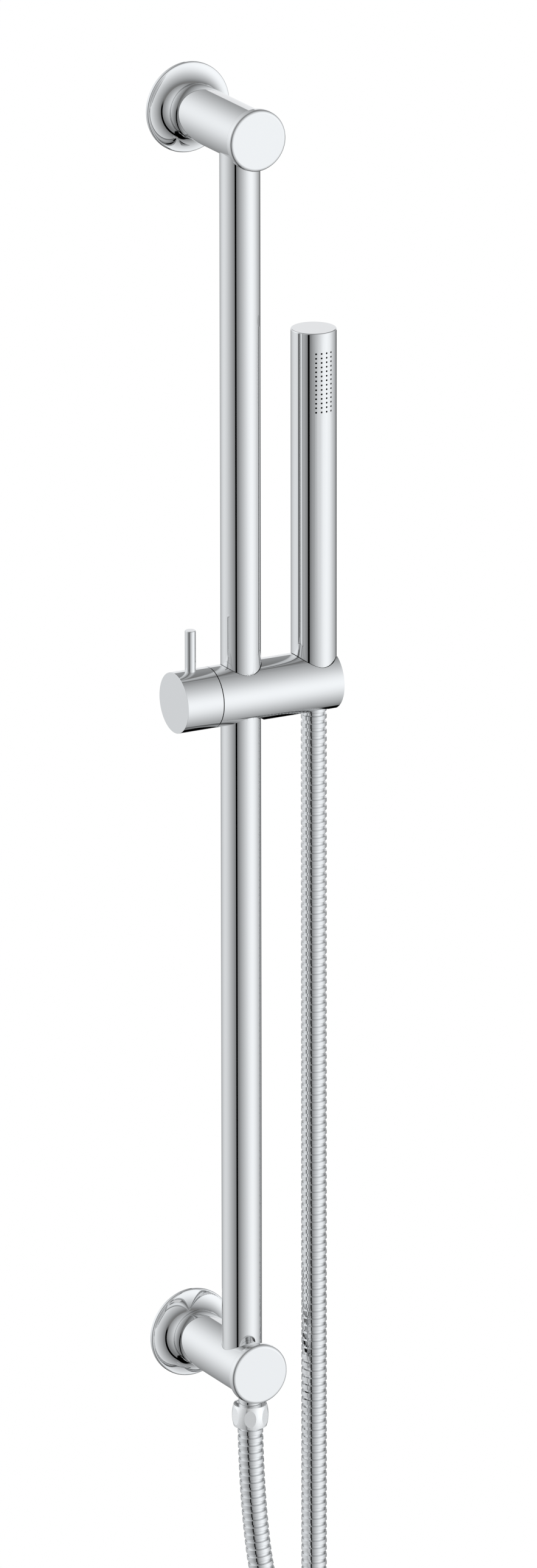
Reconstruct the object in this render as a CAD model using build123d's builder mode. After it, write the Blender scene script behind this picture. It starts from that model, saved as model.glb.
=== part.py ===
from build123d import *
import os
from math import cos, pi, radians, sin, sqrt, tan

# Shower slide rail: two wall brackets, a round rail, a clamping slider, a stick hand shower and its hose.
# Millimetres, +Z up.  The wall is the plane y = 0 and the object stands out of it towards -Y.
# The origin is on the wall, at the axis of the lower bracket's arm.

# Clearances
slip = 0.05               # between pieces that are pushed or screwed together
running = 0.06            # round a shaft that turns or slides
seam = 0.3                # open joint between knob and body
socket_play = 0.4         # hand shower in its socket, on the radius
mouth_play = 0.3          # rail in the mouth of the slider, on the radius

# Driving dimensions: arms, caps and wall flanges
bracket_spacing = 700.0   # centre to centre of the two arms
rail_out = 60.0           # rail axis in front of the wall
arm_d = 30.0
arm_past_rail = 19.2      # the arm's tip beyond the rail's axis
cap_wall = 1.9            # the cap stands this far proud of the arm
cap_lap = 2.2             # how far the cap reaches back over the arm
cap_face_t = 2.0          # the cap's front, beyond the arm's tip
cap_round = 1.1           # rounding of the cap's front edge
cap_ring_r = 0.5          # section radius of the ring that holds the cap
flange_d = 50.3
rim_t = 2.0               # thickness of the flange at its rim
rim_w = 3.65              # width of the ring that bears on the wall
relief_depth = 1.4        # hollow behind the flange, inside that ring
flange_lip = 1.0          # flat ring between the rim and the concave flare
flare_start = 5.0         # slope of the flare where it leaves that ring, degrees
flare_end = 66.0          # and where it ends, beside the arm
flange_mouth_t = 0.45     # thickness of the flange's edge round the arm

# Wall fixings inside the arms
arm_wall = 3.5            # wall of the arm round its socket
collar_step = 3.0         # flats of the inlet's six-sided collar, inside the arm's surface
collar_t = 2.8
collar_gap = 0.2          # between that collar and the arm
inlet_thread_d = 20.9     # half-inch pipe thread
inlet_thread_l = 15.0
inlet_bore_d = 12.0
grub_out = 11.0           # grub screw axis in front of the wall
grub_d = 5.0
grub_groove_depth = 0.8
grub_groove_play = 1.0
grub_sunk = 0.6           # outer end of the grub screw under the arm's surface
grub_hex_depth = 1.8
ring_after_grub = 6.0     # first sealing ring beyond the grub screw
ring_step = 5.0           # second sealing ring beyond the first
ring_to_tip = 5.0         # end of the spigot beyond the second
ring_section = 1.7
ring_groove_play = 0.4
water_socket_gap = 1.5    # bottom of the lower arm's socket beyond the spigot
boss_socket_gap = 13.0    # the same in the upper arm, which holds the wall screw's head
boss_flange_gap = 0.2     # rim of the wall boss inside the arm's surface
wall_screw_d = 5.5
wall_screw_seat = 8.0     # thickness of the boss under the screw's head
wall_screw_head_d = 11.0

# Rail
rail_d = 22.0
rail_wall = 1.2
rail_seat = 2.5           # end of the rail, from the arm's axis
plug_l = 20.0
rail_screw_d = 4.0
rail_screw_under = 6.5    # axis of the rail screw under the arm's surface
rail_screw_past = 3.0     # tip of the screw beyond the rail's axis
rail_screw_gap = 1.0      # hole in the plug beyond that tip
screw_head_d = 6.8
screw_head_t = 2.4
screw_hex_af = 2.5
screw_hex_depth = 1.6

# Water outlet under the lower arm
outlet_land = 3.3         # metal between the outlet and the arm's tip
channel_d = 9.0
channel_drop = 4.5        # water channel below the arm's axis
nipple_d = 12.8
nipple_step = 0.5         # its root is thinner by this, on the radius
nipple_sunk = 3.0         # collar of the nipple, sunk into the arm
nipple_root_l = 4.5
nipple_l = 9.4            # from that collar to the thread
nipple_bore_d = 7.0
male_d = 16.5             # three-eighths pipe thread
male_l = 6.6
valve_d = 8.4
valve_l = 9.0
valve_sunk = 1.0          # valve inside the nipple's end
valve_play = 1.0          # room above it
valve_port_d = 3.2
valve_bore_d = 6.4
valve_floor_t = 2.0
nut_over = 1.2            # nut above the start of the thread
nut_floor_t = 1.65
nut_wall = 1.2            # metal round the thread, at the middle of a flat
nut_bulge = 0.55          # barrel beyond the flats
nut_belly_r = 21.8        # curve of the barrel's side
nut_turn = 28.0           # turn of the flats about the hose, degrees

# Hose and the tails inside its two nuts
hose_d = 14.0
tail_d = 10.4
tail_bore_d = 6.4
tail_flange_t = 1.1
washer_t = 1.7

# Slider body on the rail
slider_z = 386.0          # slider axis above the lower arm
slider_wall = 5.75        # slider's radius beyond the rail's
body_past_handset = 10.0  # right end beyond the hand shower's axis
slot_play = 0.5           # on each side of the hose, in the slot of the right end
bush_wall = 1.5
bush_split = 1.6
bush_top_cover = 1.0      # metal outside the bush's ends, which sets how far it reaches
bush_bottom_cover = 0.3

# Clamp on the slider's left end
shoe_l = 8.1
shoe_d = 11.9
shoe_face_t = 2.4         # front of the shoe, ahead of its threaded hole
shoe_play = 0.45          # room behind the shoe for loosening
clamp_screw_d = 5.0
clamp_screw_gap = 0.6     # between the screw's tip and the bottom of that hole
spindle_collar_t = 1.4
spindle_d = 7.9
spindle_flat = 0.5
boss_floor_t = 4.0        # bearing of the spindle in the body's boss
boss_l = 7.7
boss_d = 16.0
boss_play = 0.4           # knob's hollow round the boss
boss_end_gap = 0.9
knob_l = 21.9
knob_face_t = 3.0
pin_land = 1.45           # metal between the knob's hollow and the pin's screw
pin_d = 6.0
pin_out = 22.85           # pin above the knob's surface
pin_in = 6.75             # and its foot below it
pin_screw_d = 4.0
fine_edge = 0.25          # broken edges of the pin and the hand shower's lid

# Hand shower, standing in the slider
handset_x = 45.0          # its axis beside the rail's
handset_d = 25.0
handset_wall = 1.5
handset_end = -0.3        # lower end of the tube, from the slider's axis
handset_top = 199.0       # and its top
lid_t = 2.0
lid_spigot = 4.5
nozzle_columns = 4
nozzle_rows = 14
nozzle_d = 1.1
nozzle_angle = 14.05      # between columns, degrees round the tube
nozzle_pitch = 2.52       # between rows
nozzle_turn = -1.2        # middle of the field, degrees round the tube from straight ahead
nozzle_sunk = 0.4
pad_t = 1.0
pad_margin = 4.0
pad_gap = 0.85            # between the pad and the lid's spigot
pipe_d = 12.0
pipe_wall = 1.5
pipe_to_pad = 29.0        # from the pipe's upper end to the pad
pipe_foot_l = 9.0
pipe_cone_l = 3.0
pipe_head_l = 5.0
thread_l = 5.0            # half-inch pipe thread at the lower end
cone_nut_step = 0.1       # nut inside the tube's surface
cone_nut_wall = 1.95      # metal round the thread
cone_nut_floor_t = 1.35
cone_tip_step = 2.0       # small end of the nut's cone, outside the hose
cone_tail_step = 0.3      # flange of the tail, outside the cone's small end
seat_gap = 0.3            # between the nut's cone and its seat, at right angles
seat_t = 0.8

# Distances that follow from them: arms and fixings
arm_r = arm_d / 2
rail_r = rail_d / 2
upper_z = bracket_spacing
arm_back = collar_t + collar_gap
arm_tip = rail_out + arm_past_rail
cap_back = arm_tip - cap_lap
cap_front = arm_tip + cap_face_t
flange_r = flange_d / 2
flange_bore_r = arm_r + slip
flare_reach = flange_r - flange_lip - flange_mouth_t - flange_bore_r
flare_r = flare_reach / (sin(radians(flare_end)) - sin(radians(flare_start)))
socket_r = arm_r - arm_wall
barrel_r = socket_r - 2 * slip
rear_ring_out = grub_out + ring_after_grub
front_ring_out = rear_ring_out + ring_step
barrel_tip = front_ring_out + ring_to_tip
water_socket = barrel_tip + water_socket_gap
boss_socket = barrel_tip + boss_socket_gap
screw_z = arm_r - rail_screw_under
screw_seat = arm_tip - screw_head_t - 2 * slip
screw_tip = rail_out - rail_screw_past
rail_low = rail_seat + slip
rail_high = upper_z - rail_low

# Outlet
outlet_out = arm_tip - outlet_land - nipple_d / 2
nipple_seat = nipple_sunk - arm_r
nipple_top = nipple_seat + nipple_root_l
male_top = nipple_seat - nipple_l
male_end = male_top - male_l
valve_low = male_end + valve_sunk
valve_high = valve_low + valve_l
washer_high = male_end - slip
outlet_tail_high = washer_high - washer_t - slip
outlet_tail_r = male_d / 2 - slip
nut_ledge = outlet_tail_high - tail_flange_t - slip
nut_high = male_top + nut_over
nut_low = nut_ledge - nut_floor_t
nut_af = male_d + 2 * (slip + nut_wall)
nut_r = nut_af / 2 + nut_bulge

# Slider and clamp
slider_r = rail_r + slider_wall
bush_r = rail_r + bush_wall
bush_high = slider_z + sqrt(slider_r ** 2 - (bush_r + bush_top_cover) ** 2)
bush_low = slider_z - sqrt(slider_r ** 2 - (bush_r + bush_bottom_cover) ** 2)
shoe_r = shoe_d / 2
shoe_back = -bush_r - shoe_l
collar_front = shoe_back - shoe_play
collar_back = collar_front - spindle_collar_t
shoulder = collar_back - slip
boss_end = shoulder - boss_floor_t
body_left = boss_end + boss_l
body_right = handset_x + body_past_handset
knob_right = body_left - seam
knob_left = knob_right - knob_l
knob_hollow_end = boss_end - boss_end_gap
pin_x = knob_hollow_end - pin_screw_d / 2 - pin_land
pin_foot = slider_r - pin_in
spindle_r = spindle_d / 2
spindle_left = knob_left + knob_face_t

# Hand shower, heights from the slider's axis
handset_r = handset_d / 2
bore_r = handset_r - handset_wall
fit_r = bore_r - slip
field_high = handset_top - lid_t - lid_spigot - pad_gap - pad_margin
field_low = field_high - nozzle_pitch * (nozzle_rows - 1)
pipe_top = field_low - pad_margin - pipe_to_pad
cone_nut_r = handset_r - cone_nut_step
thread_r = cone_nut_r - cone_nut_wall - slip
thread_end = handset_end - thread_l
strainer_high = thread_end - slip
handset_tail_high = strainer_high - washer_t - 2 * slip
cone_ledge = handset_tail_high - tail_flange_t - 2 * slip
cone_nut_end = cone_ledge - cone_nut_floor_t
cone_tip_r = hose_d / 2 + cone_tip_step
cone_nut_high = handset_end - 4 * slip
cone_high = cone_nut_end + cone_nut_r - cone_tip_r
handset_tail_r = cone_tip_r + cone_tail_step
holder_r = handset_r + socket_play
hose_slot = hose_d + 2 * slot_play

# The hose's way from the outlet to the hand shower, its points chosen by hand
hose_start = (0.0, -outlet_out, nut_low)
hose_finish = (handset_x, -rail_out, slider_z + cone_nut_end - seat_gap)
hose_route = [
    hose_start,
    (0.0, -outlet_out, -73.0),
    (6.5, -73.5, -136.0),
    (34.5, -79.5, -184.0),
    (75.0, -84.0, -216.0),
    (109.0, -84.0, -259.0),
    (114.0, -81.0, -318.0),
    (79.0, -77.0, -366.0),
    (20.0, -72.0, -378.0),
    (-33.0, -67.0, -348.0),
    (-53.0, -63.0, -295.0),
    (-37.0, -60.5, -244.0),
    (-7.0, -59.0, -214.0),
    (21.0, -59.0, -193.0),
    (45.0, -60.0, -156.0),
    hose_finish,
]
run_share = 0.45          # of the shorter run beside a corner, taken up by its arc

os.makedirs("parts", exist_ok=True)


def save(part, name):
    """Label a finished piece and write it to its own file."""
    part.label = name
    export_step(part, f"parts/{name}.step")
    return part


def out_of_wall(z, out=0.0):
    """Plane parallel to the wall on an arm's axis, its normal pointing into the room."""
    return Plane(origin=(0, -out, z), x_dir=(1, 0, 0), z_dir=(0, -1, 0))


def arm_section(z):
    """Plane through an arm's axis: local X runs out of the wall, local Y is the radius."""
    return Plane(origin=(0, 0, z), x_dir=(0, -1, 0), z_dir=(-1, 0, 0))


def arm_axis(z):
    return Axis((0, 0, z), (0, -1, 0))


def across(x):
    """Plane square to the slider's axis at this x, its normal pointing to the right."""
    return Plane(origin=(x, -rail_out, slider_z), x_dir=(0, 1, 0), z_dir=(1, 0, 0))


def upright(x, y):
    """Plane through a vertical axis: local X is the radius, local Y is the height."""
    return Plane(origin=(x, y, 0), x_dir=(1, 0, 0), z_dir=(0, -1, 0))


def turned(x, y, profile, base=0.0):
    """A piece turned about a vertical axis from its outline of radius and height."""
    with BuildPart() as piece:
        with BuildSketch(upright(x, y)):
            with BuildLine():
                Polyline(*[(radius, base + height) for radius, height in profile], close=True)
            make_face()
        revolve(axis=Axis((x, y, 0), (0, 0, 1)))
    return piece.part


# Wall flanges

def flare_point(angle):
    """Distance from the wall and radius where the flare has this slope."""
    out = rim_t + flare_r * (cos(radians(flare_start)) - cos(radians(angle)))
    radius = flange_r - flange_lip - flare_r * (sin(radians(angle)) - sin(radians(flare_start)))
    return out, radius


def wall_flange(z):
    foot = flare_point(flare_start)
    mouth = flare_point(flare_end)
    with BuildPart() as flange:
        with BuildSketch(arm_section(z)):
            with BuildLine():
                Polyline(mouth, (mouth[0], flange_bore_r), (relief_depth, flange_bore_r),
                         (relief_depth, flange_r - rim_w), (0, flange_r - rim_w), (0, flange_r),
                         (rim_t, flange_r), foot)
                ThreePointArc(foot, flare_point((flare_start + flare_end) / 2), mouth)
            make_face()
        revolve(axis=arm_axis(z))
    return flange.part


lower_wall_flange = save(wall_flange(0), "lower_wall_flange")
upper_wall_flange = save(wall_flange(upper_z), "upper_wall_flange")


# Arms.  The rail rises from the lower one, where side is 1, and hangs from the upper one, where side is -1

cap_groove_out = (cap_back + arm_tip) / 2


def arm_blank(z, side, socket_depth):
    """What the two arms share: the bar, its wall socket, rail seat, screw holes and cap groove."""
    with BuildPart() as arm:
        with BuildSketch(out_of_wall(z, arm_back)):
            Circle(arm_r)
        extrude(amount=arm_tip - arm_back)
        with BuildSketch(out_of_wall(z, arm_back)):
            Circle(socket_r)
        extrude(amount=socket_depth - arm_back, mode=Mode.SUBTRACT)
        with BuildSketch(Plane.XY.offset(z + side * rail_seat)):
            with Locations((0, -rail_out)):
                Circle(rail_r + slip)
        extrude(amount=side * arm_d, mode=Mode.SUBTRACT)
        with BuildSketch(out_of_wall(z + side * screw_z, rail_out)):
            Circle(rail_screw_d / 2 + slip)
        extrude(amount=arm_past_rail, mode=Mode.SUBTRACT)
        with BuildSketch(out_of_wall(z + side * screw_z, screw_seat)):
            Circle(screw_head_d / 2 + 2 * slip)
        extrude(amount=arm_tip - screw_seat, mode=Mode.SUBTRACT)
        with BuildSketch(Plane.XY.offset(z)):
            with Locations((0, -grub_out)):
                Circle(grub_d / 2 + slip)
        extrude(amount=-arm_d, mode=Mode.SUBTRACT)
        with BuildSketch(arm_section(z)):
            with Locations((cap_groove_out, arm_r)):
                Rectangle(3 * cap_ring_r, 4 * (cap_ring_r + slip))
        revolve(axis=arm_axis(z), mode=Mode.SUBTRACT)
    return arm.part


with BuildPart() as lower_arm:
    add(arm_blank(0, 1, water_socket))
    with BuildSketch(out_of_wall(-channel_drop, barrel_tip)):
        Circle(channel_d / 2)
    extrude(amount=outlet_out - barrel_tip, mode=Mode.SUBTRACT)
    for start, radius in ((-channel_drop, channel_d / 2), (nipple_top, nipple_d / 2 - nipple_step + slip),
                          (nipple_seat, nipple_d / 2 + slip)):
        with BuildSketch(Plane.XY.offset(start)):
            with Locations((0, -outlet_out)):
                Circle(radius)
        extrude(amount=-arm_d, mode=Mode.SUBTRACT)
lower_arm = save(lower_arm.part, "lower_arm")
upper_arm = save(arm_blank(upper_z, -1, boss_socket), "upper_arm")


# End caps, pushed over the arms' tips and held by a small ring

def end_cap(z):
    with BuildPart() as cap:
        with BuildSketch(out_of_wall(z, cap_back)):
            Circle(arm_r + cap_wall)
        extrude(amount=cap_front - cap_back)
        fillet(cap.edges().sort_by(Axis.Y)[0], cap_round)
        with BuildSketch(out_of_wall(z, cap_back)):
            Circle(arm_r + slip)
        extrude(amount=arm_tip - cap_back + slip, mode=Mode.SUBTRACT)
    return cap.part


def cap_ring(z):
    with BuildPart() as ring:
        with BuildSketch(arm_section(z)):
            with Locations((cap_groove_out, arm_r - cap_ring_r)):
                Circle(cap_ring_r)
        revolve(axis=arm_axis(z))
    return ring.part


lower_end_cap = save(end_cap(0), "lower_end_cap")
upper_end_cap = save(end_cap(upper_z), "upper_end_cap")
lower_cap_ring = save(cap_ring(0), "lower_cap_ring")
upper_cap_ring = save(cap_ring(upper_z), "upper_cap_ring")


# Inlet spigot, wall boss, seals and grub screws

def fixing_barrel(z):
    """The barrel that an arm slides over, with the groove for its grub screw."""
    with BuildPart() as barrel:
        with BuildSketch(out_of_wall(z)):
            Circle(barrel_r)
        extrude(amount=barrel_tip)
        with BuildSketch(arm_section(z)):
            with Locations((grub_out, socket_r)):
                Rectangle(grub_d + grub_groove_play, 2 * grub_groove_depth)
        revolve(axis=arm_axis(z), mode=Mode.SUBTRACT)
    return barrel.part


with BuildPart() as inlet_spigot:
    add(fixing_barrel(0))
    with BuildSketch(out_of_wall(0)):
        RegularPolygon(radius=arm_r - collar_step, side_count=6, major_radius=False)
    extrude(amount=collar_t)
    with BuildSketch(out_of_wall(0)):
        Circle(inlet_thread_d / 2)
    extrude(amount=-inlet_thread_l)
    with BuildSketch(arm_section(0)):
        with Locations((rear_ring_out, socket_r), (front_ring_out, socket_r)):
            Rectangle(ring_section + ring_groove_play, 2 * (ring_section + 3 * slip))
    revolve(axis=arm_axis(0), mode=Mode.SUBTRACT)
    with BuildSketch(out_of_wall(0, -inlet_thread_l)):
        Circle(inlet_bore_d / 2)
    extrude(amount=inlet_thread_l + barrel_tip, mode=Mode.SUBTRACT)
inlet_spigot = save(inlet_spigot.part, "inlet_spigot")

for name, out in (("inlet_ring_rear", rear_ring_out), ("inlet_ring_front", front_ring_out)):
    with BuildPart() as inlet_ring:
        with BuildSketch(arm_section(0)):
            with Locations((out, socket_r - slip - ring_section / 2)):
                Circle(ring_section / 2)
        revolve(axis=arm_axis(0))
    save(inlet_ring.part, name)

with BuildPart() as wall_boss:
    add(fixing_barrel(upper_z))
    with BuildSketch(out_of_wall(upper_z)):
        Circle(arm_r - boss_flange_gap)
    extrude(amount=collar_t)
    with BuildSketch(out_of_wall(upper_z)):
        Circle(wall_screw_d / 2)
    extrude(amount=barrel_tip, mode=Mode.SUBTRACT)
    with BuildSketch(out_of_wall(upper_z, wall_screw_seat)):
        Circle(wall_screw_head_d / 2)
    extrude(amount=barrel_tip, mode=Mode.SUBTRACT)
wall_boss = save(wall_boss.part, "wall_boss")

grub_tip = socket_r - grub_groove_depth + slip
for name, z in (("lower_grub_screw", 0.0), ("upper_grub_screw", upper_z)):
    with BuildPart() as grub:
        with BuildSketch(Plane.XY.offset(z - grub_tip)):
            with Locations((0, -grub_out)):
                Circle(grub_d / 2)
        extrude(amount=-(arm_r - grub_tip - grub_sunk))
        with BuildSketch(Plane(grub.faces().sort_by(Axis.Z)[0])):
            RegularPolygon(radius=screw_hex_af / 2, side_count=6, major_radius=False)
        extrude(amount=-grub_hex_depth, mode=Mode.SUBTRACT)
    save(grub.part, name)


# Rail with its end plugs and the screws that hold it in the arms

with BuildPart() as rail_tube:
    with BuildSketch(Plane.XY.offset(rail_low)):
        with Locations((0, -rail_out)):
            Circle(rail_r)
            Circle(rail_r - rail_wall, mode=Mode.SUBTRACT)
    extrude(amount=rail_high - rail_low)
    for z in (screw_z, upper_z - screw_z):
        with BuildSketch(out_of_wall(z, rail_out)):
            Circle(rail_screw_d / 2 + slip)
        extrude(amount=rail_d, mode=Mode.SUBTRACT)
rail_tube = save(rail_tube.part, "rail_tube")

for name, low, hole in (("lower_rail_plug", rail_low, screw_z),
                        ("upper_rail_plug", rail_high - plug_l, upper_z - screw_z)):
    with BuildPart() as plug:
        with BuildSketch(Plane.XY.offset(low)):
            with Locations((0, -rail_out)):
                Circle(rail_r - rail_wall - slip)
        extrude(amount=plug_l)
        with BuildSketch(out_of_wall(hole, screw_tip - rail_screw_gap)):
            Circle(rail_screw_d / 2)
        extrude(amount=rail_d, mode=Mode.SUBTRACT)
    save(plug.part, name)

for name, z in (("lower_rail_screw", screw_z), ("upper_rail_screw", upper_z - screw_z)):
    with BuildPart() as screw:
        with BuildSketch(out_of_wall(z, screw_tip)):
            Circle(rail_screw_d / 2 - slip)
        extrude(amount=screw_seat + slip - screw_tip)
        with BuildSketch(out_of_wall(z, screw_seat + slip)):
            Circle(screw_head_d / 2)
        extrude(amount=screw_head_t)
        with BuildSketch(out_of_wall(z, screw_seat + slip + screw_head_t)):
            RegularPolygon(radius=screw_hex_af / 2, side_count=6, major_radius=False)
        extrude(amount=-screw_hex_depth, mode=Mode.SUBTRACT)
    save(screw.part, name)


# Outlet nipple, non-return valve, washer, hose tail and union nut

nipple_r = nipple_d / 2
nipple_root_r = nipple_r - nipple_step
valve_hole_r = valve_d / 2 + slip
valve_hole_top = valve_high + valve_play
outlet_nipple = save(turned(0, -outlet_out, [
    (nipple_bore_d / 2, nipple_top), (nipple_root_r, nipple_top), (nipple_root_r, nipple_seat),
    (nipple_r, nipple_seat), (nipple_r, male_top), (male_d / 2, male_top), (male_d / 2, male_end),
    (valve_hole_r, male_end), (valve_hole_r, valve_hole_top), (nipple_bore_d / 2, valve_hole_top),
]), "outlet_nipple")

check_valve = save(turned(0, -outlet_out, [
    (valve_port_d / 2, valve_low), (valve_d / 2, valve_low), (valve_d / 2, valve_high),
    (valve_bore_d / 2, valve_high), (valve_bore_d / 2, valve_low + valve_floor_t),
    (valve_port_d / 2, valve_low + valve_floor_t),
]), "check_valve")


def flat_washer(x, y, high, outer_r):
    return turned(x, y, [(tail_bore_d / 2, high), (outer_r, high), (outer_r, high - washer_t),
                         (tail_bore_d / 2, high - washer_t)])


def hose_tail(x, y, high, flange_r, end):
    """The insert at a hose end: a flange inside the nut and a stem down to the hose."""
    return turned(x, y, [
        (tail_bore_d / 2, high), (flange_r, high), (flange_r, high - tail_flange_t),
        (tail_d / 2, high - tail_flange_t), (tail_d / 2, end), (tail_bore_d / 2, end),
    ])


outlet_washer = save(flat_washer(0, -outlet_out, washer_high, outlet_tail_r), "outlet_washer")
outlet_hose_tail = save(hose_tail(0, -outlet_out, outlet_tail_high, outlet_tail_r, nut_low),
                        "outlet_hose_tail")

with BuildPart() as hose_nut:
    belly_drop = nut_belly_r - sqrt(nut_belly_r ** 2 - ((nut_high - nut_low) / 2) ** 2)
    tail_hole_r = tail_d / 2 + 2 * slip
    nut_thread_r = male_d / 2 + slip
    with BuildSketch(upright(0, -outlet_out)):
        with BuildLine():
            Polyline((nut_r - belly_drop, nut_low), (tail_hole_r, nut_low), (tail_hole_r, nut_ledge),
                     (nut_thread_r, nut_ledge), (nut_thread_r, nut_high), (nut_r - belly_drop, nut_high))
            ThreePointArc((nut_r - belly_drop, nut_high), (nut_r, (nut_high + nut_low) / 2),
                          (nut_r - belly_drop, nut_low))
        make_face()
    revolve(axis=Axis((0, -outlet_out, 0), (0, 0, 1)))
    with BuildSketch(Plane.XY.offset(nut_low)):
        with Locations((0, -outlet_out)):
            RegularPolygon(radius=nut_af / 2, side_count=6, major_radius=False, rotation=-nut_turn)
    extrude(amount=nut_high - nut_low, mode=Mode.INTERSECT)
hose_nut = save(hose_nut.part, "hose_nut")


# Slider body: a horizontal bar with the rail's bore, the hand shower's socket and the clamp's boss

cone_fall = cone_nut_r - cone_tip_r
seat_drop = seat_gap * sqrt(2)                       # the lining lies this far under the nut's cone
body_cone_drop = seat_drop + (seat_t + slip) * sqrt(2)


with BuildPart() as slider_body:
    with BuildSketch(across(body_left)):
        Circle(slider_r)
    extrude(amount=body_right - body_left)
    with BuildSketch(across(boss_end)):
        Circle(boss_d / 2)
    extrude(amount=boss_l)
    with BuildSketch(Plane.XY.offset(slider_z)):
        with Locations((0, -rail_out)):
            Circle(rail_r + mouth_play)
    extrude(amount=slider_r, mode=Mode.SUBTRACT)
    with BuildSketch(Plane.XY.offset(bush_high + 2 * slip)):
        with Locations((0, -rail_out)):
            Circle(bush_r + running)
    extrude(amount=-2 * slider_r, mode=Mode.SUBTRACT)
    with BuildSketch(across(shoulder)):
        Circle(shoe_r + running)
    extrude(amount=-shoulder - rail_r, mode=Mode.SUBTRACT)
    with BuildSketch(across(boss_end)):
        Circle(spindle_r + running)
    extrude(amount=boss_floor_t, mode=Mode.SUBTRACT)
    with BuildSketch(upright(handset_x, -rail_out)):
        with BuildLine():
            cone_base = slider_z + cone_high - body_cone_drop
            Polyline((0, slider_z + slider_r), (holder_r, slider_z + slider_r),
                     (holder_r, cone_base + holder_r - cone_nut_r), (cone_tip_r, cone_base - cone_fall),
                     (cone_tip_r, slider_z - slider_r), (0, slider_z - slider_r), close=True)
        make_face()
    revolve(axis=Axis((handset_x, -rail_out, 0), (0, 0, 1)), mode=Mode.SUBTRACT)
    with BuildSketch(Plane.XY.offset(slider_z)):
        with Locations((handset_x + slider_r, -rail_out)):
            Rectangle(2 * slider_r, hose_slot)
    extrude(amount=slider_r, both=True, mode=Mode.SUBTRACT)
slider_body = save(slider_body.part, "slider_body")

with BuildPart() as socket_seat:
    with BuildSketch(upright(handset_x, -rail_out)):
        with BuildLine():
            lining_high = slider_z + cone_high - seat_drop
            lining_low = lining_high - cone_fall + slip
            lining_r = cone_tip_r + slip
            Polyline((cone_nut_r, lining_high), (lining_r, lining_low),
                     (lining_r, lining_low - seat_t * sqrt(2)), (cone_nut_r, lining_high - seat_t * sqrt(2)),
                     close=True)
        make_face()
    revolve(axis=Axis((handset_x, -rail_out, 0), (0, 0, 1)))
    with BuildSketch(Plane.XY.offset(slider_z)):
        with Locations((handset_x + slider_r, -rail_out)):
            Rectangle(2 * slider_r, hose_slot)
    extrude(amount=slider_r, both=True, mode=Mode.SUBTRACT)
socket_seat = save(socket_seat.part, "socket_seat")

with BuildPart() as rail_bush:
    with BuildSketch(Plane.XY.offset(bush_low)):
        with Locations((0, -rail_out)):
            Circle(bush_r)
            Circle(rail_r + running, mode=Mode.SUBTRACT)
        with Locations((0, -rail_out + rail_r)):
            Rectangle(bush_split, rail_r, mode=Mode.SUBTRACT)
    extrude(amount=bush_high - bush_low)
rail_bush = save(rail_bush.part, "rail_bush")


# Clamp: the knob turns the spindle in place, and the spindle's screw drives the shoe against the bush

with BuildPart() as clamp_shoe:
    with BuildSketch(across(shoe_back)):
        Circle(shoe_r)
    extrude(amount=-shoe_back - rail_r)
    with BuildSketch(across(shoe_back)):
        Circle(clamp_screw_d / 2 + slip)
    extrude(amount=shoe_l - shoe_face_t, mode=Mode.SUBTRACT)
    with BuildSketch(Plane.XY.offset(slider_z)):
        with Locations((0, -rail_out)):
            Circle(bush_r + 2 * running)
    extrude(amount=shoe_d, both=True, mode=Mode.SUBTRACT)
clamp_shoe = save(clamp_shoe.part, "clamp_shoe")

with BuildPart() as clamp_spindle:
    screw_end = -bush_r - shoe_face_t - clamp_screw_gap
    collar_r = shoe_r - slip
    with BuildSketch(Plane(origin=(0, -rail_out, slider_z), x_dir=(1, 0, 0), z_dir=(0, -1, 0))):
        with BuildLine():
            Polyline((spindle_left, 0), (spindle_left, spindle_r), (collar_back, spindle_r),
                     (collar_back, collar_r), (collar_front, collar_r), (collar_front, clamp_screw_d / 2),
                     (screw_end, clamp_screw_d / 2), (screw_end, 0), close=True)
        make_face()
    revolve(axis=Axis((0, -rail_out, slider_z), (1, 0, 0)))
    with BuildSketch(Plane.XY.offset(slider_z + spindle_r)):
        with Locations((pin_x, -rail_out)):
            Rectangle(pin_d, spindle_d)
    extrude(amount=-spindle_flat, mode=Mode.SUBTRACT)
clamp_spindle = save(clamp_spindle.part, "clamp_spindle")

with BuildPart() as clamp_knob:
    with BuildSketch(across(knob_left)):
        Circle(slider_r)
    extrude(amount=knob_l)
    with BuildSketch(across(knob_hollow_end)):
        Circle(boss_d / 2 + boss_play)
    extrude(amount=knob_right - knob_hollow_end, mode=Mode.SUBTRACT)
    with BuildSketch(across(spindle_left - 2 * slip)):
        Circle(spindle_r + slip)
    extrude(amount=knob_right - spindle_left, mode=Mode.SUBTRACT)
    for low, radius in ((pin_foot - slip, pin_d / 2 + slip), (0, pin_screw_d / 2 + slip)):
        with BuildSketch(Plane.XY.offset(slider_z + low)):
            with Locations((pin_x, -rail_out)):
                Circle(radius)
        extrude(amount=slider_r, mode=Mode.SUBTRACT)
clamp_knob = save(clamp_knob.part, "clamp_knob")

with BuildPart() as knob_pin:
    with BuildSketch(Plane.XY.offset(slider_z + pin_foot)):
        with Locations((pin_x, -rail_out)):
            Circle(pin_d / 2)
    extrude(amount=pin_in + pin_out)
    chamfer(knob_pin.edges().sort_by(Axis.Z)[-1], fine_edge)
    with BuildSketch(Plane.XY.offset(slider_z + pin_foot)):
        with Locations((pin_x, -rail_out)):
            Circle(pin_screw_d / 2)
    extrude(amount=-(pin_foot - spindle_r + spindle_flat - slip))
knob_pin = save(knob_pin.part, "knob_pin")


# Hand shower: tube, lid, nozzle pad, inner pipe, strainer and the hose's cone nut and tail

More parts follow.
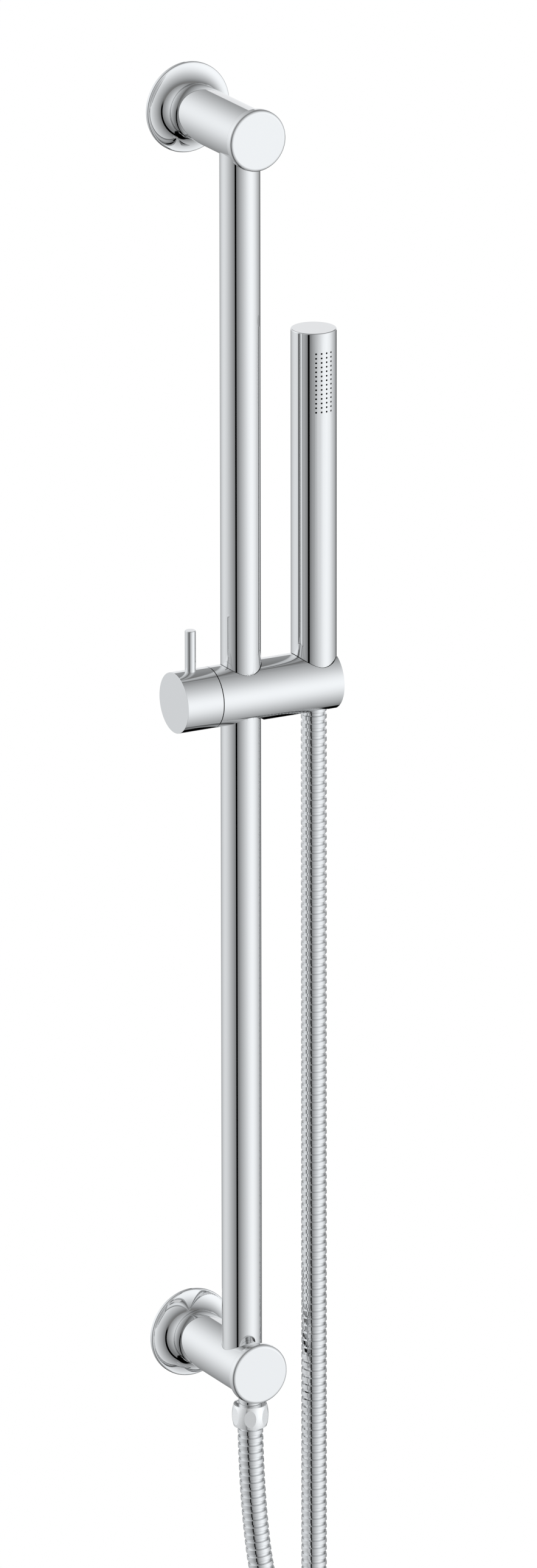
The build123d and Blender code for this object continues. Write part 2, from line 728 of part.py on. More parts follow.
def nozzle_places():
    """Angle from straight ahead and height of every nozzle."""
    for row in range(nozzle_rows):
        for column in range(nozzle_columns):
            angle = nozzle_turn + (column - (nozzle_columns - 1) / 2) * nozzle_angle
            yield angle, slider_z + field_low + row * nozzle_pitch


def nozzle_plane(angle, z, radius):
    """Plane square to a nozzle, at this distance from the tube's axis."""
    facing = (sin(radians(angle)), -cos(radians(angle)), 0)
    place = (handset_x + radius * facing[0], -rail_out + radius * facing[1], z)
    return Plane(origin=place, x_dir=(0, 0, 1), z_dir=facing)


with BuildPart() as handset_tube:
    with BuildSketch(Plane.XY.offset(slider_z + handset_end)):
        with Locations((handset_x, -rail_out)):
            Circle(handset_r)
            Circle(bore_r, mode=Mode.SUBTRACT)
    extrude(amount=handset_top - lid_t - handset_end)
    for angle, z in nozzle_places():
        with BuildSketch(nozzle_plane(angle, z, bore_r - handset_wall / 2)):
            Circle(nozzle_d / 2)
    extrude(amount=2 * handset_wall, mode=Mode.SUBTRACT)
handset_tube = save(handset_tube.part, "handset_tube")

with BuildPart() as handset_lid:
    with BuildSketch(Plane.XY.offset(slider_z + handset_top - lid_t)):
        with Locations((handset_x, -rail_out)):
            Circle(handset_r)
    extrude(amount=lid_t)
    chamfer(handset_lid.edges().sort_by(Axis.Z)[-1], fine_edge)
    with BuildSketch(Plane.XY.offset(slider_z + handset_top - lid_t)):
        with Locations((handset_x, -rail_out)):
            Circle(fit_r)
    extrude(amount=-lid_spigot)
handset_lid = save(handset_lid.part, "handset_lid")

with BuildPart() as nozzle_pad:
    half_spread = nozzle_angle * nozzle_columns / 2
    with BuildSketch(Plane.XY.offset(slider_z + field_low - pad_margin)):
        with Locations((handset_x, -rail_out)):
            Circle(fit_r)
            Circle(fit_r - pad_t, mode=Mode.SUBTRACT)
        with BuildLine():
            sides = [(handset_x + handset_d * sin(radians(angle)),
                      -rail_out - handset_d * cos(radians(angle)))
                     for angle in (nozzle_turn - half_spread, nozzle_turn + half_spread)]
            Polyline((handset_x, -rail_out), *sides, close=True)
        make_face(mode=Mode.INTERSECT)
    extrude(amount=field_high - field_low + 2 * pad_margin)
    for angle, z in nozzle_places():
        with BuildSketch(nozzle_plane(angle, z, fit_r - pad_t / 2)):
            Circle(nozzle_d / 2 - slip)
    extrude(amount=pad_t / 2 + slip + handset_wall - nozzle_sunk)
nozzle_pad = save(nozzle_pad.part, "nozzle_pad")

pipe_r = pipe_d / 2
pipe_bore_r = pipe_r - pipe_wall
waterway = save(turned(handset_x, -rail_out, [
    (pipe_bore_r, thread_end), (thread_r, thread_end), (thread_r, handset_end - slip),
    (fit_r, handset_end - slip), (fit_r, handset_end + pipe_foot_l),
    (pipe_r, handset_end + pipe_foot_l + pipe_cone_l), (pipe_r, pipe_top - pipe_head_l - pipe_cone_l),
    (fit_r, pipe_top - pipe_head_l), (fit_r, pipe_top), (pipe_bore_r, pipe_top),
], slider_z), "waterway")

strainer_washer = save(flat_washer(handset_x, -rail_out, slider_z + strainer_high, thread_r - slip),
                       "strainer_washer")
handset_hose_tail = save(hose_tail(handset_x, -rail_out, slider_z + handset_tail_high, handset_tail_r,
                                   hose_finish[2] + slip), "handset_hose_tail")

nut_bore_r = thread_r + slip
tail_way_r = tail_d / 2 + running
flange_way_r = handset_tail_r + running
cone_nut = save(turned(handset_x, -rail_out, [
    (nut_bore_r, cone_nut_high), (cone_nut_r, cone_nut_high), (cone_nut_r, cone_high),
    (cone_tip_r, cone_nut_end), (tail_way_r, cone_nut_end), (tail_way_r, cone_ledge),
    (flange_way_r, cone_ledge), (flange_way_r, handset_tail_high + slip),
    (nut_bore_r, handset_tail_high + slip),
], slider_z), "cone_nut")


# Hose: straight runs joined by tangent arcs, each as large as its two runs allow

bends = []
for before, corner, after in zip(hose_route, hose_route[1:], hose_route[2:]):
    first = Vector(*corner) - Vector(*before)
    second = Vector(*after) - Vector(*corner)
    half_turn = radians(first.get_angle(second) / 2)
    bends.append(run_share * min(first.length, second.length) / tan(half_turn))

with BuildPart() as hose:
    with BuildLine() as way:
        FilletPolyline(*hose_route, radius=bends)
    with BuildSketch(Plane(origin=hose_start, z_dir=(0, 0, -1))):
        Circle(hose_d / 2)
    sweep(path=way.wires()[0])
hose = save(hose.part, "hose")

hose_length = way.wires()[0].length
hose_section = pi * hose_d ** 2 / 4
print("hose length", round(hose_length, 1), "bend radii", [round(radius) for radius in bends])
print("hose volume over section times length", round(hose.volume / (hose_section * hose_length), 4))
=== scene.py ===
# Shower slide rail: the finish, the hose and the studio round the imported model.
import math
import bmesh
import bpy
from mathutils import Matrix, Vector


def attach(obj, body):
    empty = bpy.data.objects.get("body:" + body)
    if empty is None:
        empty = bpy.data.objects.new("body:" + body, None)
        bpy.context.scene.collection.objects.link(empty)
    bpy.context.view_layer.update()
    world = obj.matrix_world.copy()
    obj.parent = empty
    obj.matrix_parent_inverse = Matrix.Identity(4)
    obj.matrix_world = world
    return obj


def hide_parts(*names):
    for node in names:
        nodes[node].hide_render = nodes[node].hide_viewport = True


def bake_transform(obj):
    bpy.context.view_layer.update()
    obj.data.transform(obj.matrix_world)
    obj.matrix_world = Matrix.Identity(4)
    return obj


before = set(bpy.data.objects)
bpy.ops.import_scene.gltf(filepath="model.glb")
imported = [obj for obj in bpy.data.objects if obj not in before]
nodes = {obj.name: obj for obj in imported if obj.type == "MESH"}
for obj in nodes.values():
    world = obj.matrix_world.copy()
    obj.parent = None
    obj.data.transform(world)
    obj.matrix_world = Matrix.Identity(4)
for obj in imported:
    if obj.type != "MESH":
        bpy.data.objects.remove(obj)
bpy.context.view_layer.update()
print("frame loaded:", len(nodes), "nodes")


def direction(turn, rise):
    turn, rise = math.radians(turn), math.radians(rise)
    return (math.sin(turn) * math.cos(rise), math.cos(turn) * math.cos(rise), math.sin(rise))


# Camera, at the photograph's angle
cameraPlan = {
    "place": (-3.7824, -7.1047, 2.8855),
    "aim": (0.0132, -0.0671, 0.3338),
    "lens": 236.87,
    "sensorHeight": 24.0,
    "sight": 60.0,
    "roll": -0.072,         # degrees
}


def addCamera(plan):
    data = bpy.data.cameras.new("photoCamera")
    data.sensor_fit = "VERTICAL"
    data.sensor_height = plan["sensorHeight"]
    data.lens = plan["lens"]
    data.clip_end = plan["sight"]
    camera = bpy.data.objects.new("photoCamera", data)
    bpy.context.scene.collection.objects.link(camera)
    back = (Vector(plan["place"]) - Vector(plan["aim"])).normalized()
    right = Vector((0, 0, 1)).cross(back).normalized()
    turn = Matrix((right, back.cross(right), back)).transposed()
    turn = turn @ Matrix.Rotation(math.radians(plan["roll"]), 3, "Z")
    camera.matrix_world = Matrix.Translation(plan["place"]) @ turn.to_4x4()
    bpy.context.scene.camera = camera


addCamera(cameraPlan)
bpy.context.scene.view_settings.view_transform = "Standard"
print("camera placed")


# Small helpers for node trees
def addNode(tree, kind, **settings):
    node = tree.nodes.new(kind)
    for name, value in settings.items():
        if name == "inputs":
            for socket, given in value.items():
                setOrLink(tree, node.inputs[socket], given)
        else:
            setattr(node, name, value)
    return node


def setOrLink(tree, socket, value):
    if isinstance(value, bpy.types.NodeSocket):
        tree.links.new(value, socket)
    else:
        socket.default_value = value


def calculate(tree, operation, *values):
    node = addNode(tree, "ShaderNodeMath", operation=operation)
    for socket, value in zip(node.inputs, values):
        setOrLink(tree, socket, value)
    return node.outputs[0]


def fillRamp(ramp, stops):
    elements = ramp.color_ramp.elements
    while len(elements) > 1:
        elements.remove(elements[-1])
    for number, (position, colour) in enumerate(stops):
        element = elements[0] if number == 0 else elements.new(position)
        element.position = position
        element.color = (*colour, 1)


# Studio: two large soft lights facing each other, with a dark gap between them, and a white backdrop
studioPlan = {
    # Turns are degrees clockwise from +Y, then degrees up
    "lights": (
        {"axis": (141.0, -4.0),
         "falloff": ((0.0, 0.24), (0.1, 0.26), (0.2, 0.317), (0.3, 0.405), (0.4, 0.482), (0.5, 0.558),
                     (0.6, 0.64), (0.7, 0.737), (0.8, 0.858), (0.9, 1.012), (0.95, 1.104), (1.0, 1.207))},
        {"axis": (312.0, 16.0),
         "falloff": ((0.0, 0.22), (0.1, 0.24), (0.2, 0.28), (0.3, 0.354), (0.4, 0.43), (0.5, 0.508),
                     (0.6, 0.594), (0.7, 0.697), (0.8, 0.824), (0.9, 0.983), (0.95, 1.076), (1.0, 1.181))},
    ),
    "tint": (0.975, 1.0, 1.023),
    "gapAxis": (141.1, -6.0),
    "halfGap": (0.078, 0.086),          # sines of the dark gap's half angle, inside and out
    "gapAbove": 0.235,
    "gapRise": (-0.05, 0.3),
    # Spots that the metal mirrors dark, with the cosines of their half angle, outside and in
    "darkSpots": (((38.0, -44.0), (0.962, 0.974)), ((5.0, -74.0), (0.95, 0.97))),
    "backdrop": (28.0, 0.0),
    "backdropReach": (0.80, 0.83),      # cosines of its half width, outside and in
    "backdropFoot": (-0.25, -0.23),
    "backdropHead": (0.335, 0.295),
    "backdropMirrored": (0.924, 0.934, 0.952, 1),
    "backdropSeen": (1, 1, 1, 1),
}


def addStudio(plan):
    world = bpy.data.worlds.new("studio")
    bpy.context.scene.world = world
    world.use_nodes = True
    tree = world.node_tree
    tree.nodes.clear()
    look = addNode(tree, "ShaderNodeTexCoord").outputs["Generated"]

    def along(place):
        dot = addNode(tree, "ShaderNodeVectorMath", operation="DOT_PRODUCT",
                      inputs={0: look, 1: direction(*place)})
        return dot.outputs["Value"]

    def step(value, low, high):
        node = addNode(tree, "ShaderNodeMapRange", interpolation_type="SMOOTHSTEP",
                       inputs={"Value": value, "From Min": low, "From Max": high})
        return node.outputs["Result"]

    def mixed(blend, factor, first, second):
        node = addNode(tree, "ShaderNodeMix", data_type="RGBA", blend_type=blend,
                       inputs={"Factor": factor, 6: first, 7: second})
        return node.outputs[2]

    ramps = []
    for light in plan["lights"]:
        ramp = addNode(tree, "ShaderNodeValToRGB", inputs={"Fac": along(light["axis"])})
        fillRamp(ramp, [(reach, [strength * part for part in plan["tint"]])
                        for reach, strength in light["falloff"]])
        ramps.append(ramp.outputs["Color"])
    lights = mixed("LIGHTEN", 1.0, *ramps)

    height = addNode(tree, "ShaderNodeSeparateXYZ", inputs={0: look}).outputs["Z"]
    gapLight = calculate(tree, "MULTIPLY", step(height, *plan["gapRise"]), plan["gapAbove"])
    beside = step(calculate(tree, "ABSOLUTE", along(plan["gapAxis"])), *plan["halfGap"])
    lights = mixed("MIX", beside, gapLight, lights)
    for place, edges in plan["darkSpots"]:
        lights = mixed("MIX", step(along(place), *edges), lights, (0, 0, 0, 1))

    # The white backdrop fills the camera's view, and the metal shows it where it stands
    reach = step(along(plan["backdrop"]), *plan["backdropReach"])
    upright = calculate(tree, "MULTIPLY", step(height, *plan["backdropFoot"]),
                        step(height, *plan["backdropHead"]))
    wall = calculate(tree, "MULTIPLY", upright, reach)
    rays = addNode(tree, "ShaderNodeLightPath").outputs
    mirrored = calculate(tree, "MAXIMUM", rays["Is Glossy Ray"], rays["Is Transmission Ray"])
    surround = mixed("MIX", calculate(tree, "MULTIPLY", mirrored, wall), lights, plan["backdropMirrored"])
    surround = mixed("MIX", rays["Is Camera Ray"], surround, plan["backdropSeen"])
    background = addNode(tree, "ShaderNodeBackground", inputs={"Color": surround, "Strength": 1.0})
    addNode(tree, "ShaderNodeOutputWorld", inputs={"Surface": background.outputs[0]})


addStudio(studioPlan)
print("studio built")


# Finishes by material slot: one colour, or two to vary between, a range of roughness and at times a grain
finishPlans = {
    "chrome": {
        "name": "polishedChrome", "metallic": 1.0, "colours": [(0.778, 0.78, 0.782)],
        "roughness": (0.01, 0.025), "roughnessScale": 60.0},
    "hose_chrome": {
        "name": "stripChrome", "metallic": 1.0, "colours": [(0.76, 0.765, 0.77)],
        "roughness": (0.02, 0.05), "roughnessScale": 60.0},
    "brass": {
        "name": "machinedBrass", "metallic": 1.0,
        "colours": [(0.74, 0.55, 0.28), (0.62, 0.43, 0.19)], "colourScale": 90.0,
        "roughness": (0.16, 0.34), "roughnessScale": 400.0,
        "grain": {"scale": 1500.0, "strength": 0.25, "distance": 0.0001}},
    "steel": {
        "name": "screwSteel", "metallic": 1.0, "colours": [(0.55, 0.55, 0.57)],
        "roughness": (0.18, 0.36), "roughnessScale": 500.0,
        "grain": {"scale": 2500.0, "strength": 0.2, "distance": 0.0001}},
    "seal": {
        "name": "sealRubber", "metallic": 0.0,
        "colours": [(0.02, 0.02, 0.021), (0.04, 0.04, 0.04)], "colourScale": 300.0,
        "roughness": (0.42, 0.58), "roughnessScale": 800.0,
        "grain": {"scale": 4000.0, "strength": 0.3, "distance": 0.00005}},
    "silicone": {
        "name": "darkSilicone", "metallic": 0.0, "shine": 0.12,
        "colours": [(0.003, 0.003, 0.0035), (0.006, 0.006, 0.007)], "colourScale": 300.0,
        "roughness": (0.42, 0.58), "roughnessScale": 800.0,
        "grain": {"scale": 4000.0, "strength": 0.3, "distance": 0.00005}},
    "bearing_plastic": {
        "name": "greyAcetal", "metallic": 0.0,
        "colours": [(0.27, 0.28, 0.29), (0.31, 0.32, 0.33)], "colourScale": 120.0,
        "roughness": (0.32, 0.44), "roughnessScale": 600.0,
        "grain": {"scale": 3000.0, "strength": 0.2, "distance": 0.00005}},
    "valve_plastic": {
        "name": "whiteAcetal", "metallic": 0.0,
        "colours": [(0.74, 0.74, 0.71), (0.78, 0.78, 0.76)], "colourScale": 120.0,
        "roughness": (0.29, 0.41), "roughnessScale": 600.0,
        "grain": {"scale": 3000.0, "strength": 0.2, "distance": 0.00005}},
}
# The union nut is brighter than the rest: painted light, a brighter copy of the chrome that stands in for the
# stronger light falling on the nut
nutPaintedLightPlan = {
    "name": "brightNickel", "metallic": 0.6, "colours": [(1.0, 1.0, 1.0)],
    "roughness": (0.03, 0.05), "roughnessScale": 200.0}
noiseDetail = {"roughness": 2.0, "colour": 4.0, "grain": 6.0}


def newMaterial(name):
    material = bpy.data.materials.new(name)
    material.use_nodes = True
    return material, material.node_tree, material.node_tree.nodes["Principled BSDF"]


def makeFinish(plan):
    material, tree, shader = newMaterial(plan["name"])

    def objectNoise(use, scale):
        place = addNode(tree, "ShaderNodeTexCoord").outputs["Object"]
        return addNode(tree, "ShaderNodeTexNoise", inputs={
            "Vector": place, "Scale": scale, "Detail": noiseDetail[use]}).outputs["Fac"]

    colours = [(*colour, 1) for colour in plan["colours"]]
    shader.inputs["Base Color"].default_value = colours[0]
    if len(colours) > 1:
        blend = addNode(tree, "ShaderNodeMix", data_type="RGBA", inputs={
            "Factor": objectNoise("colour", plan["colourScale"]), 6: colours[0], 7: colours[1]})
        tree.links.new(blend.outputs[2], shader.inputs["Base Color"])
    shader.inputs["Metallic"].default_value = plan["metallic"]
    if "shine" in plan:
        shader.inputs["Specular IOR Level"].default_value = plan["shine"]
    low, high = plan["roughness"]
    spread = addNode(tree, "ShaderNodeMapRange", inputs={
        "Value": objectNoise("roughness", plan["roughnessScale"]), "To Min": low, "To Max": high})
    tree.links.new(spread.outputs["Result"], shader.inputs["Roughness"])
    if "grain" in plan:
        grain = plan["grain"]
        bump = addNode(tree, "ShaderNodeBump", inputs={
            "Height": objectNoise("grain", grain["scale"]),
            "Strength": grain["strength"], "Distance": grain["distance"]})
        tree.links.new(bump.outputs["Normal"], shader.inputs["Normal"])
    return material


finishes = {slotName: makeFinish(plan) for slotName, plan in finishPlans.items()}
for node in nodes.values():
    for slot in node.material_slots:
        slot.material = finishes[slot.material.name]
# The nut gets the brighter finish, with painted light in it
nodes["hose_nut"].material_slots[0].material = makeFinish(nutPaintedLightPlan)
print("finishes assigned")


# Meshes
sharpAngle = 30.0           # degrees between faces, past which their edge is drawn sharp


def finishPiece(piece, replaced):
    piece.data.shade_smooth()
    piece.data.set_sharp_from_angle(angle=math.radians(sharpAngle))
    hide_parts(*replaced)


def growPiece(name, tree, values):
    piece = bpy.data.objects.new(name, bpy.data.meshes.new(name))
    bpy.context.scene.collection.objects.link(piece)
    modifier = piece.modifiers.new("grow", "NODES")
    modifier.node_group = tree
    for item in tree.interface.items_tree:
        if item.item_type == "SOCKET" and item.in_out == "INPUT":
            modifier[item.identifier] = values[item.name]
    grown = bpy.data.meshes.new_from_object(piece.evaluated_get(bpy.context.evaluated_depsgraph_get()))
    piece.modifiers.clear()
    grown.name = name
    piece.data = grown
    return piece


# Turned pieces: each corner is its place along the axis, its radius and its rounding, in millimetres
turningPlan = {
    "perMetre": 1000,
    "roundingSteps": 5,
    "supportGap": 0.02,
}


def roundCorner(before, corner, after, radius):
    toBefore, toAfter = (before - corner).normalized(), (after - corner).normalized()
    half = toBefore.angle(toAfter) / 2
    reach = radius / math.tan(half)
    centre = corner + (toBefore + toAfter).normalized() * (radius / math.sin(half))
    start, end = corner + toBefore * reach - centre, corner + toAfter * reach - centre
    sweep = start.angle(end)
    arc = []
    for number in range(turningPlan["roundingSteps"] + 1):
        share = number / turningPlan["roundingSteps"]
        spoke = start * math.sin((1 - share) * sweep) + end * math.sin(share * sweep)
        arc.append(centre + spoke / math.sin(sweep))
    # A support ring on each side keeps the flat faces flat
    gap = turningPlan["supportGap"]
    return [arc[0] + toBefore * gap] + arc + [arc[-1] + toAfter * gap]


def turnedOutline(corners):
    points = [Vector(corner[:2]) for corner in corners]
    outline = []
    for number, corner in enumerate(corners):
        if len(corner) == 3:
            following = points[(number + 1) % len(points)]
            outline += roundCorner(points[number - 1], points[number], following, corner[2])
        else:
            outline.append(points[number])
    return [point / turningPlan["perMetre"] for point in outline]


def turnedPiece(name, body, slotName, replaced, plan):
    outline = turnedOutline(plan["corners"])
    axis, origin, sides = Vector(plan["axis"]), Vector(plan["origin"]), plan["sides"]
    side = axis.orthogonal().normalized()
    across = axis.cross(side)
    mesh = bmesh.new()
    rings = []
    for along, radius in outline:
        turns = [0.0] if radius == 0 else [math.tau * number / sides for number in range(sides)]
        rings.append([
            mesh.verts.new(origin + axis * along + (side * math.cos(turn) + across * math.sin(turn)) * radius)
            for turn in turns])
    pairs = list(zip(rings, rings[1:]))
    # An outline that starts off the axis is closed into a ring
    if outline[0].y > 0:
        pairs.append((rings[-1], rings[0]))
    for near, far in pairs:
        for number in range(sides):
            corners = [near[number % len(near)], near[(number + 1) % len(near)],
                       far[(number + 1) % len(far)], far[number % len(far)]]
            mesh.faces.new(list(dict.fromkeys(corners)))
    bmesh.ops.recalc_face_normals(mesh, faces=mesh.faces)
    data = bpy.data.meshes.new(name)
    mesh.to_mesh(data)
    mesh.free()
    piece = bpy.data.objects.new(name, data)
    bpy.context.scene.collection.objects.link(piece)
    data.materials.append(finishes[slotName])
    finishPiece(piece, replaced)
    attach(piece, body)
    print(name, "faces", len(data.polygons))


# Wall flanges: a rounded rim, a flat lip and a flare that closes round the arm
flangePlan = {
    "heights": {"lower_wall_flange": 0.0, "upper_wall_flange": 0.7},
    "lipRadius": 24.15,
    "rim": 2.0,
    "flareRadius": 11.16,
    "flareSlopes": (5.0, 63.7),
    "flareSteps": 18,
    "mouth": (8.43, 14.99),
    "back": ((1.4, 14.99), (1.4, 21.5), (0.0, 21.5), (0.0, 25.15, 0.08), (2.0, 25.15, 0.9)),
    "sides": 128,
}


def flareCorners(plan):
    first, last = (math.radians(slope) for slope in plan["flareSlopes"])
    corners = []
    for number in range(plan["flareSteps"] + 1):
        slope = first + (last - first) * number / plan["flareSteps"]
        corners.append((plan["rim"] + plan["flareRadius"] * (math.cos(first) - math.cos(slope)),
                        plan["lipRadius"] - plan["flareRadius"] * (math.sin(slope) - math.sin(first))))
    return corners


for nodeName, height in flangePlan["heights"].items():
    turnedPiece(nodeName.replace("_wall_flange", "Flange"), "wall_set", "chrome", [nodeName], {
        "corners": [*flangePlan["back"], *flareCorners(flangePlan), flangePlan["mouth"]],
        "axis": (0, -1, 0), "origin": (0, 0, height), "sides": flangePlan["sides"]})


# End caps: broad rounding of the front edge
capPlan = {
    "heights": {"lower_end_cap": 0.0, "upper_end_cap": 0.7},
    "corners": ((79.25, 0.0), (79.25, 15.05), (77.0, 15.05), (77.0, 17.1, 0.3), (81.3, 17.1, 1.8), (81.3, 0.0)),
    "sides": 128,
}
for nodeName, height in capPlan["heights"].items():
    turnedPiece(nodeName.replace("_end_cap", "Cap"), "wall_set", "chrome", [nodeName], {
        "corners": capPlan["corners"], "axis": (0, -1, 0), "origin": (0, 0, height),
        "sides": capPlan["sides"]})


# Clamp knob, hollow round the slider's boss, its seam edge broken
knobPlan = {
    "corners": ((-41.0, 0.0), (-41.0, 16.75, 0.12), (-19.1, 16.75, 0.45), (-19.1, 8.4), (-27.4, 8.4),
                (-27.4, 4.0), (-38.0, 4.0), (-38.0, 0.0)),
    "axis": (1, 0, 0), "origin": (0, -0.06, 0.386), "sides": 128,
}
turnedPiece("knob", "clamp", "chrome", ["clamp_knob"], knobPlan)


# Lid of the hand shower, with its spigot in the tube
lidPlan = {
    "corners": ((578.5, 0.0), (578.5, 10.95), (583.0, 10.95), (583.0, 12.5), (585.0, 12.5, 0.6), (585.0, 0.0)),
    "axis": (0, 0, 1), "origin": (0.045, -0.06, 0.0), "sides": 96,
}
turnedPiece("handsetLid", "handset", "chrome", ["handset_lid"], lidPlan)


# Collar on the outlet, flush in the mouth of the hose nut
collarPlan = {
    "corners": ((-21.35, 6.2), (-21.35, 8.15), (-20.35, 8.15, 0.15), (-20.35, 6.2)),
    "axis": (0, 0, 1), "origin": (0.0, -0.0695, 0.0), "sides": 64,
}
turnedPiece("outletCollar", "wall_set", "chrome", [], collarPlan)
print("turned pieces made")


# Hose: a ribbed tube along one smooth line from the outlet to the hand shower
hosePlan = {
    "route": (
        (0.0, -0.0695, -0.0326), (0.0005, -0.070, -0.074), (0.007, -0.074, -0.137), (0.035, -0.080, -0.184),
        (0.075, -0.084, -0.216), (0.109, -0.084, -0.259), (0.114, -0.081, -0.318), (0.079, -0.077, -0.366),
        (0.020, -0.071, -0.378), (-0.033, -0.063, -0.348), (-0.053, -0.057, -0.295), (-0.037, -0.052, -0.244),
        (-0.007, -0.050, -0.214), (0.021, -0.053, -0.193), (0.045, -0.060, -0.156), (0.045, -0.060, -0.110),
        (0.045, -0.060, 0.376),
    ),
    "routeSteps": 40,
    "routeOrder": 3,
    "diameter": 0.014,
    "pitch": 0.00434,
    "ribWidth": 0.0025,
    "ribEdge": 0.00012,
    "wallStep": 0.00001,
    "grooveRadius": 0.0060,
    "sides": 24,
    "loopShare": 0.4,          # the blend's weight at the loop, from which the spans below are worked out
    "stillReach": 1000.0,      # a blend this long is even over the whole loop
    # Heights where the straight run starts and where the hose is cut into its next piece
    "uprightFrom": -0.134,
    "carrierFrom": 0.200,
    "sliderFrom": 0.288,
}


def ribbedHoseTree():
    tree = bpy.data.node_groups.new("ribbedHose", "GeometryNodeTree")
    for name, kind in (("Route", "Object"), ("From", "Float"), ("Ribs", "Int"), ("Pitch", "Float"),
                       ("Hose radius", "Float"), ("Groove radius", "Float"), ("Rib width", "Float"),
                       ("Rib edge", "Float"), ("Wall step", "Float"), ("Sides", "Int"), ("Finish", "Material")):
        tree.interface.new_socket(name, in_out="INPUT", socket_type="NodeSocket" + kind)
    tree.interface.new_socket("Hose", in_out="OUTPUT", socket_type="NodeSocketGeometry")
    given = addNode(tree, "NodeGroupInput").outputs
    route = addNode(tree, "GeometryNodeObjectInfo", inputs={"Object": given["Route"]}).outputs["Geometry"]

    # Each rib takes six rings: two of the groove, then four of the rib with its broken edges
    ringsPerRib, roundingGuard = 6.0, 0.1
    number = addNode(tree, "GeometryNodeInputIndex").outputs[0]
    guarded = calculate(tree, "ADD", number, roundingGuard)
    rib = calculate(tree, "FLOOR", calculate(tree, "DIVIDE", guarded, ringsPerRib))
    ring = calculate(tree, "SUBTRACT", number, calculate(tree, "MULTIPLY", rib, ringsPerRib))

    def byRing(*values):
        switch = addNode(tree, "GeometryNodeIndexSwitch", data_type="FLOAT")
        while len(switch.index_switch_items) < len(values):
            switch.index_switch_items.new()
        tree.links.new(ring, switch.inputs["Index"])
        for item, value in enumerate(values):
            setOrLink(tree, switch.inputs[item + 1], value)
        return switch.outputs[0]

    pitch, groove, edge = given["Pitch"], given["Groove radius"], given["Rib edge"]
    ribStart = calculate(tree, "SUBTRACT", pitch, given["Rib width"])
    wallStart = calculate(tree, "SUBTRACT", ribStart, given["Wall step"])
    wallEnd = calculate(tree, "SUBTRACT", pitch, given["Wall step"])
    shoulder = calculate(tree, "SUBTRACT", given["Hose radius"], edge)
    along = byRing(0.0, wallStart, ribStart, calculate(tree, "ADD", ribStart, edge),
                   calculate(tree, "SUBTRACT", wallEnd, edge), wallEnd)
    radius = byRing(groove, groove, shoulder, given["Hose radius"], given["Hose radius"], shoulder)

    distance = calculate(tree, "ADD", calculate(tree, "MULTIPLY_ADD", rib, pitch, along), given["From"])
    spot = addNode(tree, "GeometryNodeSampleCurve", mode="LENGTH", inputs={"Curves": route, "Length": distance})
    rings = calculate(tree, "MULTIPLY_ADD", given["Ribs"], ringsPerRib, 1.0)
    line = addNode(tree, "GeometryNodeMeshLine", inputs={"Count": rings}).outputs[0]
    line = addNode(tree, "GeometryNodeMeshToCurve", inputs={0: line}).outputs[0]
    line = addNode(tree, "GeometryNodeSetPosition",
                   inputs={0: line, "Position": spot.outputs["Position"]}).outputs[0]
    section = addNode(tree, "GeometryNodeCurvePrimitiveCircle",
                      inputs={"Resolution": given["Sides"], "Radius": 1.0}).outputs["Curve"]
    hose = addNode(tree, "GeometryNodeCurveToMesh", inputs={
        "Curve": line, "Profile Curve": section, "Scale": radius, "Fill Caps": True}).outputs[0]
    real = addNode(tree, "GeometryNodeRealizeInstances", inputs={0: hose}).outputs[0]
    painted = addNode(tree, "GeometryNodeSetMaterial", inputs={"Geometry": real, "Material": given["Finish"]})
    addNode(tree, "NodeGroupOutput", inputs={0: painted.outputs[0]})
    return tree


def routeCurve(plan):
    data = bpy.data.curves.new("hoseRoute", "CURVE")
    data.dimensions = "3D"
    data.resolution_u = plan["routeSteps"]
    spline = data.splines.new("NURBS")
    spline.points.add(len(plan["route"]) - 1)
    for point, place in zip(spline.points, plan["route"]):
        point.co = (*place, 1)
    spline.order_u = plan["routeOrder"]
    spline.use_endpoint_u = True
    curve = bpy.data.objects.new("hoseRoute", data)
    bpy.context.scene.collection.objects.link(curve)
    return curve


def readLine(curve):
    mesh = bpy.data.meshes.new_from_object(curve.evaluated_get(bpy.context.evaluated_depsgraph_get()))
    line = [vertex.co.copy() for vertex in mesh.vertices]
    bpy.data.meshes.remove(mesh)
    lengths = [0.0]
    for before, after in zip(line, line[1:]):
        lengths.append(lengths[-1] + (after - before).length)
    return line, lengths


def placeAt(line, lengths, distance):
    for number in range(1, len(line)):
        if lengths[number] >= distance:
            share = (distance - lengths[number - 1]) / (lengths[number] - lengths[number - 1])
            return line[number - 1].lerp(line[number], share)
    return line[-1].copy()


